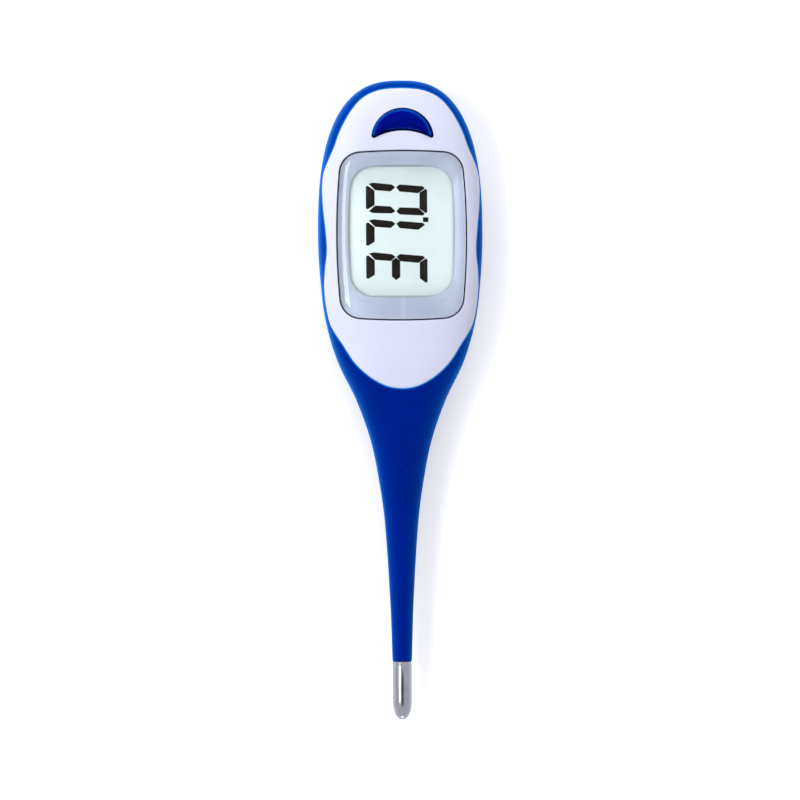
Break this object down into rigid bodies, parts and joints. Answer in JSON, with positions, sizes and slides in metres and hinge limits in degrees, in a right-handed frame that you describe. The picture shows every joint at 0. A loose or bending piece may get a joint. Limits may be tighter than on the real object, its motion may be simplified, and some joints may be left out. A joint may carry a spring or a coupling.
{
  "type": "digital thermometer",
  "caption": "Flat rounded head with a large display and a crescent button, a soft grip that runs on as a bending stem, and a steel probe tip.",
  "frame": {"origin": "centre of the bounding box at the flat back that the thermometer rests on", "axes": "+Y runs from the probe tip to the head, +Z comes out of the display, +X is to the right as the display is seen with the head at the top"},
  "size_m": [0.036, 0.14, 0.0162],
  "materials": {
    "soft_rubber": "satin soft-touch moulded elastomer",
    "white_plastic": "fine satin moulded ABS",
    "chassis_plastic": "moulded ABS",
    "door_plastic": "moulded ABS with a fine grain",
    "button_plastic": "satin moulded ABS",
    "clear_plastic": "clear polished acrylic",
    "silver_paint": "silver painted moulding",
    "black_tape": "foam adhesive tape",
    "display_glass": "liquid crystal glass with polariser film",
    "reflector_film": "satin reflecting film",
    "holder_plastic": "moulded ABS",
    "connector_rubber": "layered silicone rubber",
    "board_laminate": "glass epoxy laminate with solder mask",
    "black_epoxy": "potting epoxy",
    "ceramic_chip": "fired ceramic",
    "resistor_body": "glazed ceramic",
    "spring_steel": "nickel plated spring steel",
    "zinc_steel": "zinc plated",
    "sounder_brass": "rolled sheet",
    "seal_rubber": "moulded silicone",
    "red_wire": "wire insulation",
    "black_wire": "wire insulation",
    "stainless_steel": "polished deep-drawn stainless steel",
    "glass_bead": "glass coated bead",
    "clear_epoxy": "cured epoxy"
  },
  "bodies": {
    "housing": {"soft_body": "soft_rubber", "front_cover": "white_plastic", "rear_chassis": "chassis_plastic", "lens": "clear_plastic", "display_bezel": "silver_paint", "lens_gasket": "black_tape", "lcd_cell": "display_glass", "lcd_reflector": "reflector_film", "lcd_holder": "holder_plastic", "zebra_strip_upper": "connector_rubber", "zebra_strip_lower": "connector_rubber", "circuit_board": "board_laminate", "board_screw_1": "zinc_steel", "board_screw_2": "zinc_steel", "board_screw_3": "zinc_steel", "board_screw_4": "zinc_steel", "controller_blob": "black_epoxy", "chip_capacitor": "ceramic_chip", "chip_resistor_1": "resistor_body", "chip_resistor_2": "resistor_body", "switch_dome": "spring_steel", "battery_cell": "spring_steel", "battery_contact_positive": "spring_steel", "battery_contact_negative": "spring_steel", "sounder_disc": "sounder_brass"},
    "button": {"power_button": "button_plastic"},
    "door": {"battery_door": "door_plastic", "door_gasket": "seal_rubber", "door_screw": "zinc_steel"},
    "stem_middle": {"lead_wire_left": "black_wire", "lead_wire_right": "red_wire"},
    "probe_tip": {"steel_cap": "stainless_steel", "thermistor": "glass_bead", "tip_potting": "clear_epoxy"}
  },
  "joints": [
    {"name": "power_button_press", "type": "slide", "parent": "housing", "child": "button", "axis": [0, 0, -1], "range_m": [0, 0.0005], "stiffness_N_per_m": 1000, "deforming": ["switch_dome"]},
    {"name": "battery_door_lift", "type": "slide", "parent": "housing", "child": "door", "axis": [0, 0, -1], "range_m": [0, 0.015]},
    {"name": "stem_bend_upper", "type": "hinge", "parent": "housing", "child": "stem_middle", "pos_m": [0, -0.03, 0.008], "axis": [1, 0, 0], "range_deg": [-22.5, 22.5], "stiffness_Nm_per_rad": 0.01, "deforming": ["soft_body", "lead_wire_left", "lead_wire_right"]},
    {"name": "stem_bend_lower", "type": "hinge", "parent": "stem_middle", "child": "probe_tip", "pos_m": [0, -0.047, 0.008], "axis": [1, 0, 0], "range_deg": [-22.5, 22.5], "stiffness_Nm_per_rad": 0.01, "deforming": ["soft_body", "lead_wire_left", "lead_wire_right"]}
  ],
  "couplings": [
    {"joint": "stem_bend_lower", "follows": "stem_bend_upper", "ratio": 1}
  ]
}
